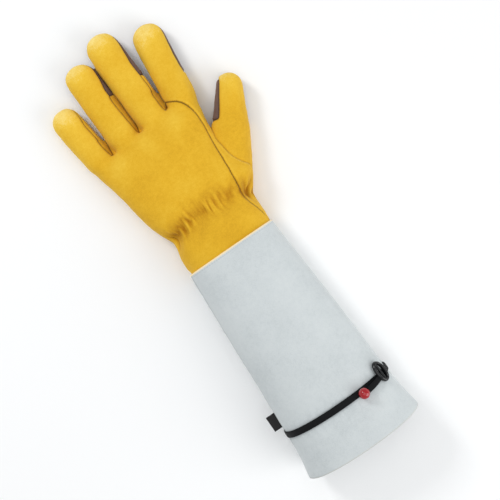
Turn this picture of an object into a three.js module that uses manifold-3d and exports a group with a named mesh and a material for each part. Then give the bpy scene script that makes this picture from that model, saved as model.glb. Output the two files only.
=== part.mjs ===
// A long-cuffed gardening glove for the left hand, lying palm down on a flat surface.
//
// The hand is yellow split leather, sewn from a back panel, an index panel that wraps the thumb side, a
// palm panel, strips between the fingers, a set-in thumb and brown fingertip patches. It is gathered at the
// wrist and tucked into a grey leather cuff. A flat elastic strap runs round the cuff through an oval slide
// and ends in a bead.
//
// Millimetres. +Z is up, +Y runs from the hem to the fingertips, and +X points to the thumb side. While it
// is being made, the glove's zero is the middle of the wrist seam, on the surface. At the end it moves to
// the middle of the glove's own base.
import * as THREE from "three";
import { mergeVertices } from "three/addons/utils/BufferGeometryUtils.js";
import Module from "manifold-3d";

const wasm = await Module();
wasm.setup();

// Leather and seams
const WALL = 1.6; // thickness of the leather
const SEAM_GAP = 0.3; // free space between two pieces that are sewn or laid together
const BACK_ROUNDNESS = 2.3; // power of the outline over the back: 2 is an ellipse, more is boxier
const PALM_ROUNDNESS = 2.6; // the same, under the palm
const SIDE_HEIGHT = 0.45; // height of the widest point, as a share of a section's height
const FLATTENING = 0.22; // how far the underside is pressed flat, as a share of its depth

// Hand
const PALM_LENGTH = 122; // wrist seam to the knuckle line
const PALM_WIDTH = 107; // across the knuckle line
const PALM_HEIGHT = 38;
const KNUCKLE_SLANT = 0.1; // how much further towards the thumb the knuckle line reaches, per width
const GATHER_DEPTH = 2.2; // depth of the folds that the wrist elastic makes
const GATHER_FOLDS = 8; // folds round the wrist
const GATHER_ARCH = 5; // how much further up the back than at the sides the elastic runs
const TUCK = 6; // length of the hand's edge inside the cuff

// Fingers and thumb
const LITTLE_LENGTH = 56;
const RING_LENGTH = 73.5;
const MIDDLE_LENGTH = 84.5;
const INDEX_LENGTH = 70;
const THUMB_LENGTH = 95;
const THUMB_WIDTH = 34;
const FINGER_HEIGHT = 23.5;
const FOURCHETTE_FOOT = 5; // height of the seam between a finger's side strip and the palm

// Cuff
const CUFF_LENGTH = 190;
const CUFF_TOP_WIDTH = 81.2;
const CUFF_TOP_HEIGHT = 48;
const HEM_WIDTH = 107.6;
const HEM_HEIGHT = 62;
const HEM_BOW = 1.5; // how much further than at the sides the hem and strap lie on top

// Strap, slide, bead and label
const STRAP_WIDTH = 5.8;
const STRAP_THICKNESS = 1.2;
const STRAP_FROM_HEM = 39.5;
const TAIL_LENGTH = 20.5; // round the cuff, from the slide to the bead
const TAIL_SLANT = 1.8; // how far the tail has run towards the hem at the bead
const SLIDE_LENGTH = 18.5;
const SLIDE_WIDTH = 12;
const SLIDE_THICKNESS = 3.2;
const SLIDE_TURN = 0.64; // place round the cuff, in radians from the thumb side
const SLIDE_SHIFT = 2.2; // how far its middle lies from the strap's, towards the hand
const SLIDE_FRAME = 2.5; // width of the frame round the slots
const SLIDE_BAR = 1.8; // width of the middle bar
const SLIDE_BAR_DROP = 1.3; // how far the bar lies below the frame's top
const BEAD_DIAMETER = 9;
const BEAD_SIDES = 12;
const LABEL_REACH = 7;
const LABEL_WIDTH = 13.5;
const LABEL_THICKNESS = 1;
const LABEL_FROM_TOP = 137.5; // from the wrist seam to its middle

// Facets
const SIDES = 32; // round the hand and the cuff
const FINGER_SIDES = 16;
const TIP_ROWS = 3;
const OVAL_STEPS = 6; // in each quarter of the slide's outline
const INSIDE_SIDES = 0.75; // sides of a finger's inside, as a share of those outside
const CLEAR = 5; // how far a cutting shape reaches past what it cuts
const HIGH_CLEAR = 40; // the same, above the cuff
const BESIDE = 0.6; // the same, past a finger's side, where the next finger is near
const SEAM_DROP = 0.45; // share of a finger's length from where its upper seam drops to the tip

// Each row of the hand is a section across it. along is a share of the palm's length. left, right are
// shares of its width, and height of its height. gather is the share of the gather's depth and arch there.
const HAND_ROWS = [
  { along: 0.041, left: -0.374, right: 0.369, height: 1.18, gather: 0 },
  { along: 0.125, left: -0.366, right: 0.373, height: 1.13, gather: 0.25 },
  { along: 0.175, left: -0.356, right: 0.377, height: 1.09, gather: 0.7 },
  { along: 0.222, left: -0.35, right: 0.39, height: 1.06, gather: 1 },
  { along: 0.27, left: -0.368, right: 0.424, height: 1.06, gather: 0.75 },
  { along: 0.33, left: -0.395, right: 0.463, height: 1.06, gather: 0.3 },
  { along: 0.39, left: -0.419, right: 0.486, height: 1.04, gather: 0.08 },
  { along: 0.48, left: -0.442, right: 0.444, height: 1.02, gather: 0 },
  { along: 0.665, left: -0.479, right: 0.382, height: 0.98, gather: 0 },
  { along: 0.77, left: -0.5, right: 0.39, height: 0.92, gather: 0 },
  { along: 0.87, left: -0.525, right: 0.417, height: 0.85, gather: 0 },
  { along: 0.945, left: -0.538, right: 0.43, height: 0.75, gather: 0 },
  { along: 0.98, left: -0.52, right: 0.42, height: 0.64, gather: 0 },
];

// Each finger runs straight from the knuckle line. root and lean are where its middle line starts and how
// far it has moved at the tip, as shares of the palm's width; start is where its crotch lies along the
// palm. seams are the heights of the upper seam as shares of the finger's height: little-finger side, thumb
// side at the root, and thumb side at the tip. patch is where the brown tip starts, as a share of the
// finger's length.
const FINGERS = [
  { name: "little", length: LITTLE_LENGTH, root: -0.452, lean: -0.062, start: 0.965,
    width: 0.226, height: 0.9, seams: [0.4, 0.86, 0.35], patch: null },
  { name: "ring", length: RING_LENGTH, root: -0.2, lean: -0.021, start: 1.01,
    width: 0.252, height: 0.98, seams: [0.42, 0.87, 0.38], patch: 0.47 },
  { name: "middle", length: MIDDLE_LENGTH, root: 0.075, lean: -0.025, start: 1.01,
    width: 0.264, height: 1.02, seams: [0.42, 0.87, 0.38], patch: 0.42 },
  { name: "index", length: INDEX_LENGTH, root: 0.329, lean: 0.074, start: 1.01,
    width: 0.252, height: 0.98, seams: [0.42, 0.74, 0.42], patch: 0.29 },
];

// The thumb's middle line starts inside the palm. root is a share of the palm's width and start of its
// length, lean the share of the thumb's length that it goes sideways, and taper the share of the width lost
// at the tip. seams are the heights of the upper seam: index side at the root, the free side, and index side
// at the tip. patchSeams are those of the patch's upper edge, which comes further up.
const THUMB = {
  root: 0.272, start: 0.33, lean: 0.54, taper: 0.37, height: 1.08, seams: [0.84, 0.4, 0.15], patch: 0.58,
  patchSeams: [3.3, 0.4, 0.15],
};

// Sections along a finger, as shares of its length, width and height. lift is how far the underside is
// clear of the surface, as a share of the height.
const FINGER_ROWS = [
  { along: -0.22, width: 0.66, height: 1.1, lift: 0.15 },
  { along: 0.03, width: 0.97, height: 1.2, lift: 0.06 },
  { along: 0.25, width: 1, height: 1.08, lift: 0.03 },
  { along: 0.5, width: 1.01, height: 1, lift: 0 },
  { along: 0.7, width: 1, height: 0.96, lift: 0 },
];

// Where the inside of a finger starts, in place of the first section.
const INSIDE_ROOT = { along: -0.1, width: 0.9, height: 1.1, lift: 0.05 };

// The round tip of a finger. radius is a share of its width, sweep the angle that its sections cover,
// fullness the power that makes it blunt, height and shoulder the shares of the finger's height at its very
// end and where it starts, lift how far its end is clear of the surface, and halfWidth, in millimetres,
// that of the last section.
const TIP = {
  radius: 0.46, sweep: 0.44 * Math.PI, fullness: 0.8, height: 0.5, shoulder: 0.92, lift: 0.42,
  halfWidth: 2.5,
};
const LAST_SECTION = 1.15; // how many tip radii lie between the last straight section and the end

// Sections down the cuff, from the hem to the wrist seam. down is a share of its length and flare the share
// of the way from the top's size to the hem's.
const CUFF_ROWS = [
  { down: 1, flare: 1 },
  { down: 0.94, flare: 0.83 },
  { down: 0.87, flare: 0.69 },
  { down: 0.43, flare: 0.36 },
  { down: 0, flare: 0 },
];

// The seam of the index panel on the back of the hand, from the crotch beside the middle finger to the
// wrist, as shares of the palm's width and length.
const INDEX_SEAM = [
  [0.215, 1.055], [0.245, 1.035], [0.295, 1.005], [0.33, 0.965], [0.352, 0.92], [0.362, 0.85], [0.36, 0.77],
  [0.345, 0.66], [0.328, 0.45], [0.312, 0.3], [0.307, 0.22], [0.325, 0.15], [0.355, 0.06], [0.365, -0.06],
];

const SIDE_SEAM = 0.46; // height of the hand's side seams at the wrist, as a share of the palm's height
const ABOVE_ALL = HEM_HEIGHT + HIGH_CLEAR;

const lerp = THREE.MathUtils.lerp;

// Solids

// The closed three.js geometry as a solid that can be joined and cut.
function solid(geometry) {
  const bare = geometry.clone();
  bare.deleteAttribute("normal");
  bare.deleteAttribute("uv");
  const merged = mergeVertices(bare, 1e-4);
  return new wasm.Manifold(
    new wasm.Mesh({
      numProp: 3,
      vertProperties: merged.attributes.position.array,
      triVerts: new Uint32Array(merged.index.array),
    }),
  );
}

// Moves every vertex of a geometry to the point that place gives for it.
function reshape(geometry, place) {
  const position = geometry.attributes.position;
  const point = new THREE.Vector3();
  for (let i = 0; i < position.count; i++) {
    point.fromBufferAttribute(position, i);
    position.setXYZ(i, ...place(point).toArray());
  }
  return geometry;
}

// A closed tube through rows, made from a cylinder. ring(row, turn, grow) gives a point of a row's outline,
// and turn runs from 0 at the thumb side over the back to PI at the little-finger side.
function tube(rows, sides, ring, grow) {
  const steps = rows.length - 1;
  return reshape(new THREE.CylinderGeometry(1, 1, 1, sides, steps), (unit) => {
    const row = rows[Math.round((unit.y + 0.5) * steps)];
    const spread = Math.hypot(unit.x, unit.z);
    if (spread > 0.5) return ring(row, Math.atan2(unit.z, unit.x), grow);
    return ring(row, 0, grow).lerp(ring(row, Math.PI, grow), 0.5);
  });
}

// A point of a section that lies pressed on the surface: how far across its middle, and how high. grow
// makes the section larger all round, and a negative one smaller.
function outline(halfWidth, top, lift, turn, grow) {
  const cos = Math.cos(turn);
  const sin = Math.sin(turn);
  const power = 2 / (sin > 0 ? BACK_ROUNDNESS : PALM_ROUNDNESS);
  const side = lift + (top - lift) * SIDE_HEIGHT;
  const across = (halfWidth + grow) * Math.sign(cos) * Math.abs(cos) ** power;
  if (sin > 0) return { across, up: side + (top - side + grow) * sin ** power };
  const depth = (side - lift) * (1 + FLATTENING) + grow;
  return { across, up: Math.max(side - depth * (-sin) ** power, lift - grow) };
}

// The largest body of a solid, without the crumbs that a cut can leave.
function mainBody(shape) {
  return shape.decompose().sort((a, b) => b.volume() - a.volume())[0];
}

function join(shapes) {
  return shapes.reduce((sum, shape) => sum.add(shape));
}

// Cuff

const STRAP_AT = CUFF_LENGTH - STRAP_FROM_HEM; // down the cuff, to the middle of the strap
const STRAP_GROOVE = STRAP_THICKNESS + SEAM_GAP; // how far the strap lifts the cuff off the surface
const GROOVE_EDGE = 3.5; // length over which the leather rises to the strap

function cuffFlare(down) {
  const share = down / CUFF_LENGTH;
  const below = CUFF_ROWS.findLast((row) => row.down >= share) ?? CUFF_ROWS[0];
  const above = CUFF_ROWS.find((row) => row.down <= share) ?? CUFF_ROWS.at(-1);
  if (below === above) return below.flare;
  return lerp(above.flare, below.flare, (share - above.down) / (below.down - above.down));
}

// A point of the cuff's outline at a distance down from the wrist seam.
function cuffPoint(down, turn, grow) {
  const flare = cuffFlare(down);
  const off = Math.abs(down - STRAP_AT) - STRAP_WIDTH / 2 - SEAM_GAP;
  const lift = STRAP_GROOVE * THREE.MathUtils.clamp(1 - off / GROOVE_EDGE, 0, 1);
  const halfWidth = lerp(CUFF_TOP_WIDTH, HEM_WIDTH, flare) / 2;
  const height = lerp(CUFF_TOP_HEIGHT, HEM_HEIGHT, flare);
  const { across, up } = outline(halfWidth, height, lift, turn, grow);
  const bow = HEM_BOW * Math.sin(turn) * Math.min(down / STRAP_AT, 1);
  return new THREE.Vector3(across, -down - bow, up);
}

function cuffTube(downs, grow) {
  return solid(tube(downs, SIDES, cuffPoint, grow));
}

function makeCuff() {
  const edge = STRAP_WIDTH / 2 + SEAM_GAP;
  const downs = CUFF_ROWS.map((row) => row.down * CUFF_LENGTH)
    .filter((down) => Math.abs(down - STRAP_AT) > edge + GROOVE_EDGE)
    .concat([edge + GROOVE_EDGE, edge, -edge, -edge - GROOVE_EDGE].map((step) => STRAP_AT + step))
    .sort((a, b) => b - a);
  const open = [CUFF_LENGTH + CLEAR, ...downs, -CLEAR];
  return cuffTube(downs, 0).subtract(cuffTube(open, -WALL));
}

// The strap's band with its inside filled, grown by a gap.
function cuffBand(grow) {
  const half = STRAP_WIDTH / 2 + grow;
  return cuffTube([STRAP_AT + half, STRAP_AT - half], SEAM_GAP + STRAP_THICKNESS + grow);
}

function makeStrap() {
  const inside = cuffTube([STRAP_AT + STRAP_WIDTH, STRAP_AT - STRAP_WIDTH], SEAM_GAP);
  return cuffBand(0).subtract(inside).add(makeTail(0)).subtract(beadBall(SEAM_GAP));
}

// The place of something on the cuff, at a turn round it, a distance down and a height off the leather. Its
// own x axis runs round the cuff and its z axis stands out of it.
function placeOnCuff(turn, down, height) {
  const aside = STRAP_WIDTH / HEM_WIDTH;
  const point = cuffPoint(down, turn, height);
  const before = cuffPoint(down, turn - aside, height);
  const around = cuffPoint(down, turn + aside, height).sub(before).normalize();
  const upper = cuffPoint(down - STRAP_WIDTH, turn, height);
  const along = upper.sub(cuffPoint(down + STRAP_WIDTH, turn, height)).normalize();
  const out = new THREE.Vector3().crossVectors(around, along).normalize().negate();
  const side = new THREE.Vector3().crossVectors(along, out).normalize();
  return new THREE.Matrix4().makeBasis(side, along, out).setPosition(point);
}

// An oval plate, from its underside up.
function ovalPlate(width, length, bottom, top) {
  const shape = new THREE.Shape().absellipse(0, 0, width / 2, length / 2, 0, 2 * Math.PI);
  const settings = { depth: top - bottom, bevelEnabled: false, curveSegments: OVAL_STEPS };
  return new THREE.ExtrudeGeometry(shape, settings).translate(0, 0, bottom);
}

const STRAP_OUT = SEAM_GAP + STRAP_THICKNESS; // height of the strap's outside off the cuff
const TAIL_OUT = STRAP_OUT + STRAP_THICKNESS;
const TAIL_FOOT = STRAP_OUT - STRAP_THICKNESS / 5; // where the tail starts, within the strap

// The turn round the cuff that a length along the strap makes, near the slide.
function turnOver(length) {
  const step = 0.05;
  const arc = cuffPoint(STRAP_AT, SLIDE_TURN, 0).distanceTo(cuffPoint(STRAP_AT, SLIDE_TURN + step, 0));
  return (length / arc) * step;
}

const TAIL_TURN = turnOver(TAIL_LENGTH);

// The strap's end lies on the strap, from under the slide to the bead, and runs a little towards the hem.
function makeTail(grow) {
  const steps = 6;
  const box = new THREE.BoxGeometry(1, 1, 1, steps, 1, 1);
  return solid(
    reshape(box, (unit) => {
      const share = unit.x + 0.5;
      const down = STRAP_AT + TAIL_SLANT * share - unit.y * (STRAP_WIDTH + 2 * grow);
      const turn = SLIDE_TURN + TAIL_TURN * share;
      return cuffPoint(down, turn, unit.z > 0 ? TAIL_OUT + grow : TAIL_FOOT);
    }),
  );
}

function beadCentre() {
  return cuffPoint(STRAP_AT + TAIL_SLANT, SLIDE_TURN + TAIL_TURN, STRAP_OUT + SEAM_GAP + BEAD_DIAMETER / 2);
}

function beadBall(grow) {
  const ball = new THREE.SphereGeometry(BEAD_DIAMETER / 2 + grow, BEAD_SIDES, BEAD_SIDES / 2);
  return solid(ball.translate(...beadCentre().toArray()));
}

// The slide is an oval frame with a bar along its middle. It sits over the strap, and the tail leaves under
// it.
function makeSlide() {
  const place = placeOnCuff(SLIDE_TURN, STRAP_AT - SLIDE_SHIFT, STRAP_OUT + SEAM_GAP);
  const mouth = [SLIDE_WIDTH - 2 * SLIDE_FRAME, SLIDE_LENGTH - 2 * SLIDE_FRAME];
  const barThickness = SLIDE_THICKNESS - SLIDE_BAR_DROP;
  const bar = new THREE.BoxGeometry(SLIDE_BAR, SLIDE_LENGTH - SLIDE_FRAME, barThickness);
  const plate = solid(ovalPlate(SLIDE_WIDTH, SLIDE_LENGTH, 0, SLIDE_THICKNESS).applyMatrix4(place));
  const hole = solid(ovalPlate(...mouth, -CLEAR, SLIDE_THICKNESS + CLEAR).applyMatrix4(place));
  const middle = solid(bar.translate(0, 0, barThickness / 2).applyMatrix4(place));
  return plate.subtract(hole).add(middle).subtract(makeTail(SEAM_GAP)).subtract(cuffBand(SEAM_GAP));
}

// The label is caught in the cuff's side seam and stands out flat.
function makeLabel() {
  const down = LABEL_FROM_TOP;
  const edge = cuffPoint(down + LABEL_WIDTH / 2, Math.PI, SEAM_GAP);
  const label = new THREE.BoxGeometry(LABEL_REACH, LABEL_WIDTH, LABEL_THICKNESS);
  return solid(label.translate(edge.x - LABEL_REACH / 2, -down, edge.z));
}

// Hand

// A section of the hand's edge inside the cuff, at a distance down from the wrist seam.
function handTuck(down) {
  return { tuck: down, along: -down / PALM_LENGTH, gather: 0 };
}

const HAND_SECTIONS = [handTuck(TUCK), handTuck(0), handTuck(-SEAM_GAP - WALL / 8), ...HAND_ROWS];

// A point of the hand's outline. The wrist's folds dip inwards.
function handPoint(row, turn, grow) {
  const shift = GATHER_ARCH * row.gather * Math.sin(turn);
  if (row.tuck !== undefined) {
    const point = cuffPoint(Math.max(row.tuck, 0), turn, grow - WALL - SEAM_GAP);
    return point.setY(-row.tuck);
  }
  const fold = GATHER_DEPTH * row.gather * (0.5 - 0.5 * Math.cos(GATHER_FOLDS * turn));
  const left = row.left * PALM_WIDTH;
  const right = row.right * PALM_WIDTH;
  const { across, up } = outline((right - left) / 2, row.height * PALM_HEIGHT, 0, turn, grow - fold);
  const x = (left + right) / 2 + across;
  const slant = KNUCKLE_SLANT * x * THREE.MathUtils.smoothstep(row.along, 0.7, 0.95);
  return new THREE.Vector3(x, row.along * PALM_LENGTH + shift + slant, up);
}

function handTube(grow) {
  const last = HAND_ROWS.at(-1);
  const end = { ...last, along: last.along + grow / PALM_LENGTH };
  const rows = [...HAND_SECTIONS.slice(0, -1), end];
  if (grow < 0) rows.unshift(handTuck(TUCK + CLEAR));
  return solid(tube(rows, SIDES, handPoint, grow));
}

// A finger's own frame: v along it from the crotch line, u across it towards the thumb side.
function fingerFrame(finger) {
  const root = new THREE.Vector2(finger.root * PALM_WIDTH, finger.start * PALM_LENGTH);
  const leanWidth = finger.lean * PALM_WIDTH;
  const along = new THREE.Vector2(leanWidth, Math.sqrt(finger.length ** 2 - leanWidth ** 2)).normalize();
  const width = finger.width * PALM_WIDTH;
  return { ...finger, root, along, taper: 0, width, height: finger.height * FINGER_HEIGHT };
}

function thumbFrame() {
  const root = new THREE.Vector2(THUMB.root * PALM_WIDTH, THUMB.start * PALM_LENGTH);
  const along = new THREE.Vector2(THUMB.lean, Math.sqrt(1 - THUMB.lean ** 2));
  const height = THUMB.height * FINGER_HEIGHT;
  return { ...THUMB, root, along, length: THUMB_LENGTH, width: THUMB_WIDTH, height };
}

// The point at v along and u across a finger, at a height.
function fingerPoint(frame, u, v, up) {
  return new THREE.Vector3(
    frame.root.x + frame.along.x * v + frame.along.y * u,
    frame.root.y + frame.along.y * v - frame.along.x * u,
    up,
  );
}

// The sections of a finger, closed by a round tip.
function fingerSections(frame, grow) {
  const radius = TIP.radius * frame.width * (1 - frame.taper);
  const rows = [grow < 0 ? INSIDE_ROOT : FINGER_ROWS[0], ...FINGER_ROWS.slice(1)]
    .filter((row) => row.along * frame.length < frame.length - radius * LAST_SECTION)
    .map((row) => ({ v: row.along * frame.length, width: row.width, top: row.height, lift: row.lift }));
  for (let step = 0; step <= TIP_ROWS; step++) {
    const angle = (step / TIP_ROWS) * TIP.sweep;
    const v = frame.length - radius + (radius + grow) * Math.sin(angle);
    const round = Math.cos(angle) ** TIP.fullness;
    rows.push({ v, width: round, top: lerp(TIP.height, TIP.shoulder, round), lift: TIP.lift * (1 - round) });
  }
  return rows;
}

function fingerTube(frame, grow) {
  const ring = (row, turn, inset) => {
    const taper = 1 - frame.taper * THREE.MathUtils.smoothstep(row.v / frame.length, 0.3, 1);
    const halfWidth = Math.max((row.width * taper * frame.width) / 2, TIP.halfWidth - inset);
    const top = row.top * frame.height;
    const { across, up } = outline(halfWidth, top, row.lift * frame.height, turn, inset);
    return fingerPoint(frame, across, row.v, up);
  };
  const sides = FINGER_SIDES * (grow < 0 ? INSIDE_SIDES : 1);
  return solid(tube(fingerSections(frame, grow), sides, ring, grow));
}

// A block over part of a finger: from v0 to v1 along it, from a seam's height up. side is how far it
// reaches to each side.
function fingerBlock(frame, v0, v1, side, bottoms, top) {
  const block = new THREE.BoxGeometry(1, 1, 1, 1, 4, 1);
  return solid(
    reshape(block, (unit) => {
      const u = unit.x * 2 * side;
      const share = unit.y + 0.5;
      const thumbSide = lerp(bottoms[1], bottoms[2], THREE.MathUtils.smoothstep(share, SEAM_DROP, 1));
      const bottom = lerp(bottoms[0], thumbSide, unit.x + 0.5);
      return fingerPoint(frame, u, lerp(v0, v1, share), unit.z > 0 ? top : bottom);
    }),
  );
}

const FINGER_FRAMES = FINGERS.map(fingerFrame);
const THUMB_FRAME = thumbFrame();

// Everything above the upper seam, which runs along both sides of the hand and of each finger.
function aboveSeam(drop) {
  const heights = FINGER_FRAMES.map((frame) => frame.seams.map((share) => share * frame.height - drop));
  const littleSide = heights[0][0];
  const indexSide = heights.at(-1)[1];
  const knuckles = new THREE.BoxGeometry(1, 1, 1);
  const palm = reshape(knuckles, (unit) => {
    const knuckle = unit.x > 0 ? indexSide : littleSide;
    const bottom = unit.y > 0 ? knuckle : SIDE_SEAM * PALM_HEIGHT - drop;
    const y = unit.y > 0 ? PALM_LENGTH + CLEAR / 2 : -TUCK - CLEAR;
    return new THREE.Vector3(unit.x * 2 * PALM_WIDTH, y, unit.z > 0 ? ABOVE_ALL : bottom);
  });
  const blocks = FINGER_FRAMES.map((frame, i) =>
    fingerBlock(frame, 0, frame.length + CLEAR, frame.width / 2 + BESIDE, heights[i], ABOVE_ALL),
  );
  return join([solid(palm), ...blocks]);
}

// The end of a finger, where a patch replaces the palm's leather.
function tipBlock(frame, side, grow) {
  const v0 = frame.patch * frame.length - grow;
  return fingerBlock(frame, v0, frame.length + CLEAR, side, [-CLEAR, -CLEAR, -CLEAR], ABOVE_ALL);
}

function fingerTip(frame, grow) {
  return tipBlock(frame, frame.width / 2 + BESIDE, grow);
}

// The space between two fingers' middle lines, from a height up, where a strip joins their sides.
function betweenFingers(left, right, grow) {
  const block = new THREE.BoxGeometry(1, 1, 1);
  return solid(
    reshape(block, (unit) => {
      const frame = unit.x > 0 ? right : left;
      const v = unit.y > 0 ? frame.length + CLEAR : -CLEAR - grow;
      const u = unit.x > 0 ? grow : -grow;
      return fingerPoint(frame, u, v, unit.z > 0 ? ABOVE_ALL : FOURCHETTE_FOOT - grow);
    }),
  );
}

// Everything on the thumb side of the index panel's seam.
function besideIndexSeam(shift) {
  const curve = new THREE.SplineCurve(
    INDEX_SEAM.map(([x, y]) => new THREE.Vector2(x * PALM_WIDTH - shift, y * PALM_LENGTH - shift)),
  );
  const index = FINGER_FRAMES.at(-1);
  const far = PALM_LENGTH + INDEX_LENGTH + index.width;
  const gap = fingerPoint(index, -index.width / 2 - BESIDE, INDEX_LENGTH + index.width / 2, 0);
  const region = new THREE.Shape();
  region.moveTo(PALM_WIDTH, -TUCK - CLEAR);
  region.lineTo(PALM_WIDTH, far);
  region.lineTo(gap.x - shift, far);
  region.lineTo(gap.x - shift, gap.y - shift);
  curve.getPoints(INDEX_SEAM.length * 2).forEach((point) => region.lineTo(point.x, point.y));
  region.lineTo(INDEX_SEAM.at(-1)[0] * PALM_WIDTH - shift, -TUCK - CLEAR);
  return solid(new THREE.ExtrudeGeometry(region, { depth: ABOVE_ALL, bevelEnabled: false }));
}

function makeHandPieces() {
  const outer = join([handTube(0), ...FINGER_FRAMES.map((frame) => fingerTube(frame, 0))]);
  const inside = [handTube(-WALL), fingerTube(THUMB_FRAME, -WALL)].concat(
    FINGER_FRAMES.map((frame) => fingerTube(frame, -WALL)),
  );
  const shell = outer.subtract(join(inside));
  const upper = shell.intersect(aboveSeam(0));
  const lower = shell.subtract(aboveSeam(SEAM_GAP));
  const pieces = {
    back_panel: upper.subtract(besideIndexSeam(SEAM_GAP)),
    index_panel: upper.intersect(besideIndexSeam(0)),
  };
  const patched = FINGER_FRAMES.filter((frame) => frame.patch !== null);
  const strips = FINGER_FRAMES.slice(1).map((right, i) => [FINGER_FRAMES[i], right]);
  const tips = join(patched.map((frame) => fingerTip(frame, SEAM_GAP)));
  const gaps = join(strips.map(([left, right]) => betweenFingers(left, right, SEAM_GAP)));
  pieces.palm_panel = lower.subtract(tips).subtract(gaps);
  const rest = lower.subtract(tips);
  strips.forEach(([left, right], i) => {
    const name = `fourchette_${FINGERS[i].name}_${FINGERS[i + 1].name}`;
    pieces[name] = rest.intersect(betweenFingers(left, right, 0));
  });
  FINGERS.forEach((finger, i) => {
    if (finger.patch === null) return;
    pieces[`${finger.name}_patch`] = lower.intersect(fingerTip(FINGER_FRAMES[i], 0));
  });
  return pieces;
}

function makeThumbPieces() {
  const frame = THUMB_FRAME;
  const wall = fingerTube(frame, 0).subtract(fingerTube(frame, -WALL)).subtract(handTube(SEAM_GAP));
  const above = (seams, drop) => {
    const [left, free, leftTip] = seams.map((share) => share * frame.height);
    const block = new THREE.BoxGeometry(1, 1, 1, 1, 4, 1);
    return solid(
      reshape(block, (unit) => {
        const share = unit.y + 0.5;
        const bottom = lerp(lerp(left, leftTip, share), free, unit.x + 0.5) - drop;
        const v = lerp(-frame.width, frame.length + CLEAR, share);
        return fingerPoint(frame, unit.x * 2 * frame.width, v, unit.z > 0 ? ABOVE_ALL : bottom);
      }),
    );
  };
  const patch = (grow) => tipBlock(frame, frame.width, grow).subtract(above(frame.patchSeams, -grow));
  const rest = wall.subtract(patch(SEAM_GAP));
  return {
    thumb_back: rest.intersect(above(frame.seams, 0)),
    thumb_front: rest.subtract(above(frame.seams, SEAM_GAP)),
    thumb_patch: wall.intersect(patch(0)),
  };
}

const nodes = {
  cuff: makeCuff(),
  strap: makeStrap(),
  slide: makeSlide(),
  bead: beadBall(0),
  label: makeLabel(),
  ...makeHandPieces(),
  ...makeThumbPieces(),
};

const COLOURS = {
  leather: { color: 0xdfb02c, roughness: 0.85, metalness: 0 },
  patch: { color: 0x77594f, roughness: 0.85, metalness: 0 },
  cuff: { color: 0xd0d8da, roughness: 0.9, metalness: 0 },
  strap: { color: 0x23262a, roughness: 0.8, metalness: 0 },
  slide: { color: 0x17191b, roughness: 0.3, metalness: 0 },
  bead: { color: 0xd03038, roughness: 0.15, metalness: 0 },
  label: { color: 0x15100f, roughness: 0.8, metalness: 0 },
};

function colourOf(name) {
  if (name.endsWith("patch")) return COLOURS.patch;
  return COLOURS[name] ?? COLOURS.leather;
}

const glove = new THREE.Group();
for (const [name, shape] of Object.entries(nodes)) {
  const { vertProperties, triVerts } = mainBody(shape).getMesh();
  const geometry = new THREE.BufferGeometry();
  geometry.setAttribute("position", new THREE.BufferAttribute(vertProperties, 3));
  geometry.setIndex(new THREE.BufferAttribute(triVerts, 1));
  const piece = new THREE.Mesh(geometry, new THREE.MeshStandardMaterial(colourOf(name)));
  piece.name = name;
  glove.add(piece);
}

// The glove's base centre becomes its zero.
const middle = new THREE.Box3().setFromObject(glove).getCenter(new THREE.Vector3());
glove.position.set(-middle.x, -middle.y, 0);

export default glove;
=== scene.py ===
import math

import bmesh
import bpy
import numpy as np
from mathutils import Matrix, Vector, noise
from mathutils.bvhtree import BVHTree
from mathutils.kdtree import KDTree


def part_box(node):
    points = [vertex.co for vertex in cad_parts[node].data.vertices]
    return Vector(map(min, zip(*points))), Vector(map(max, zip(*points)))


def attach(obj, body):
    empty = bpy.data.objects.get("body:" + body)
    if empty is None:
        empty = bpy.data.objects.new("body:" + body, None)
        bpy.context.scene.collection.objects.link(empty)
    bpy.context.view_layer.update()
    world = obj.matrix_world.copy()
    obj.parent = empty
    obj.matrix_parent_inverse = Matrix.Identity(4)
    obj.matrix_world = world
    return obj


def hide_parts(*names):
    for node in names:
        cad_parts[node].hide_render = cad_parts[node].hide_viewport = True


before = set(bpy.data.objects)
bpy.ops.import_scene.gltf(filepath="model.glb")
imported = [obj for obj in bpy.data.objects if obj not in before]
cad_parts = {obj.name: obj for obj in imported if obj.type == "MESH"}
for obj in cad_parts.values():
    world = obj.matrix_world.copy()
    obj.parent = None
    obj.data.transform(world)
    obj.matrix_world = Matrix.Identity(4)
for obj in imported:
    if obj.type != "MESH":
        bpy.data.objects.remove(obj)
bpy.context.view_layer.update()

# The view and the light.
# The glove lies palm down on a plain pale floor, seen straight from above at arm's length, with its fingers
# up to the left. A wide softbox hangs behind the camera, and smaller ones stand upper left and at the right.

MM = 0.001
PHOTO_MM_PER_PIXEL = 0.82
PHOTO_SIZE = 500  # pixels, each way
EYE_HEIGHT = 850 * MM  # of the camera over the glove's middle height
MIDDLE_HEIGHT = 20 * MM
FINGERS_TURN = -34.6  # degrees from the picture's up direction to the glove's

cuff_low, cuff_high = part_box("cuff")
# The wrist is the middle of the cuff's top edge, on the floor.
wrist = Vector(((cuff_low.x + cuff_high.x) / 2, cuff_high.y, 0))
picture_middle = wrist + Vector((14, -13, 0)) * PHOTO_MM_PER_PIXEL * MM

camera = bpy.data.objects.new("camera", bpy.data.cameras.new("camera"))
camera.location = picture_middle + Vector((0, 0, EYE_HEIGHT + MIDDLE_HEIGHT))
camera.rotation_euler = (0, 0, math.radians(FINGERS_TURN))
camera.data.sensor_width = 36
camera.data.lens = 36 * EYE_HEIGHT / (PHOTO_SIZE * PHOTO_MM_PER_PIXEL * MM)
bpy.context.collection.objects.link(camera)
bpy.context.scene.camera = camera
bpy.context.scene.view_settings.view_transform = "Standard"


def linear(hex_colour):
    """A colour given as sRGB hex, as the linear colour that the nodes take."""
    parts = [int(hex_colour[i : i + 2], 16) / 255 for i in (1, 3, 5)]
    return (*(c / 12.92 if c <= 0.04045 else ((c + 0.055) / 1.055) ** 2.4 for c in parts), 1)


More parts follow.
